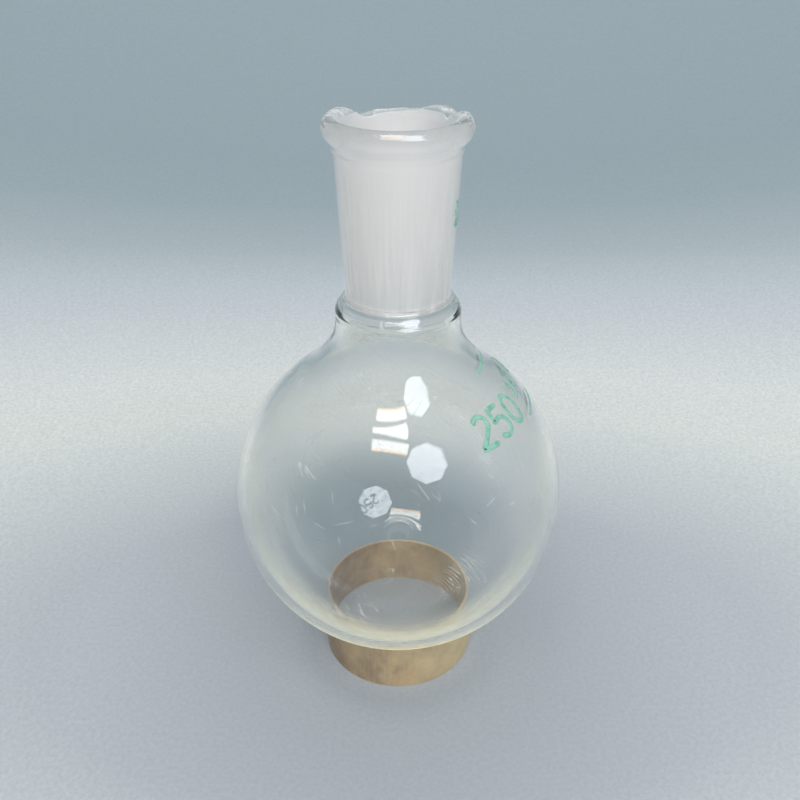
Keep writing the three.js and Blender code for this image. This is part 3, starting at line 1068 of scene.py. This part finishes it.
def light_material(name, colour, strength, low_colour=None, ribs=0):
    """A glowing cloth. low_colour is along its lower edge only, and ribs dim it in so many spokes."""
    material, tree = new_material(name)
    split = node(tree, "ShaderNodeSeparateXYZ")
    tree.links.new(node(tree, "ShaderNodeTexCoord").outputs["Object"], split.inputs[0])
    glow = node(tree, "ShaderNodeEmission")
    upper = span(tree, split.outputs["Y"], -0.05, -0.03)
    tree.links.new(blend_colours(tree, upper, low_colour or colour, colour), glow.inputs["Color"])
    glow.inputs["Strength"].default_value = strength
    if ribs:
        turn = maths(tree, "ARCTAN2", split.outputs["Y"], split.outputs["X"])
        wave = maths(tree, "COSINE", product(tree, turn, float(ribs)))
        spokes = span(tree, wave, 0.6, 1.0, strength, strength * 0.8)
        tree.links.new(spokes, glow.inputs["Strength"])
    close(tree, glow.outputs[0])
    return material


def glowing_panel(name, corners, elevation, azimuth, material, mirrored=True):
    """A flat light that faces the object. corners are in its own plane, in metres. One that isn't
    mirrored lights the object without showing in the glass."""
    mesh = bpy.data.meshes.new(name)
    mesh.from_pydata([(x, y, 0) for x, y in corners], [], [list(range(len(corners)))])
    mesh.materials.append(material)
    panel = bpy.data.objects.new(name, mesh)
    bpy.context.scene.collection.objects.link(panel)
    rise, turn = math.radians(elevation), math.radians(azimuth)
    level = math.cos(rise)
    way = Vector((level * math.cos(turn), level * math.sin(turn), math.sin(rise)))
    panel.location = AIM + way * LAMP_DISTANCE
    panel.rotation_euler = way.to_track_quat("Z", "Y").to_euler()
    panel.visible_camera = False
    panel.visible_shadow = False
    panel.visible_glossy = mirrored
    panel.visible_transmission = mirrored


def oblong(wide, high):
    x, y = wide / 2, high / 2
    return [(-x, -y), (x, -y), (x, y), (-x, y)]


def eight_sided(size):
    turns = [math.radians(22.5 + 45 * k) for k in range(8)]
    return [(size * math.cos(turn), size * math.sin(turn)) for turn in turns]


def lights():
    """An eight-sided softbox and two strip lights, which show in the glass, and two fills, which
    don't, in a dim room."""
    cool, white, warm = (0.90, 0.94, 1.0, 1), (1.0, 0.97, 0.93, 1), (1.0, 0.66, 0.36, 1)
    softbox = light_material("softbox_glow", cool, 6.4, ribs=8)
    strip = light_material("strip_glow", white, 7.6, low_colour=warm)
    plain_strip = light_material("strip_white_glow", white, 7.6)
    front = light_material("fill_glow", (1.0, 0.955, 0.93, 1), 3.0)
    back = light_material("back_glow", (1.0, 0.99, 0.94, 1), 1.5)
    glowing_panel("softbox", eight_sided(0.245), 47.0, -60.4, softbox)
    glowing_panel("strip_low", oblong(0.44, 0.14), 61.2, -101, strip)
    glowing_panel("strip_high", oblong(0.42, 0.09), 71.2, -105, plain_strip)
    glowing_panel("front_fill", oblong(2.2, 0.8), 36, -86, front, mirrored=False)
    glowing_panel("back_fill", oblong(1.2, 0.8), 54, 88, back, mirrored=False)
    world = bpy.data.worlds.new("room")
    bpy.context.scene.world = world
    world.use_nodes = True
    room = world.node_tree.nodes["Background"]
    room.inputs["Color"].default_value = (0.94, 0.94, 0.92, 1)
    room.inputs["Strength"].default_value = 0.22


def camera():
    """The view is from in front and above, 31 degrees down, from about 0.2 m away."""
    data = bpy.data.cameras.new("camera")
    data.sensor_width = 36
    data.lens = 38.4
    data.clip_start = 0.01
    made = bpy.data.objects.new("camera", data)
    bpy.context.scene.collection.objects.link(made)
    made.location = (0.45 * MM, -183.8 * MM, 192.6 * MM)
    made.rotation_euler = (math.radians(90 - 31.27), 0, 0)
    bpy.context.scene.camera = made


# ---- The whole scene ----------------------------------------------------------------------------

camera()
stage_bowl()
lights()

ground = ground_glass()
bulb = bulb_glass()
bulb.data.materials.append(clear_glass())
bulb.data.materials.append(ground)
joint = joint_glass()
joint.data.materials.append(rim_glass())
joint.data.materials.append(ground)
paper_ring().data.materials.append(kraft_paper())
enamel = green_enamel()
for mark in enamel_marks():
    mark.data.materials.append(enamel)

scene = bpy.context.scene
scene.view_settings.view_transform = "Standard"
# Light is reflected many times inside the glass before it leaves, so it needs many bounces.
scene.cycles.transparent_max_bounces = 24
scene.cycles.transmission_bounces = 32
scene.cycles.glossy_bounces = 32
scene.cycles.max_bounces = 40
scene.cycles.caustics_reflective = False
scene.cycles.caustics_refractive = False
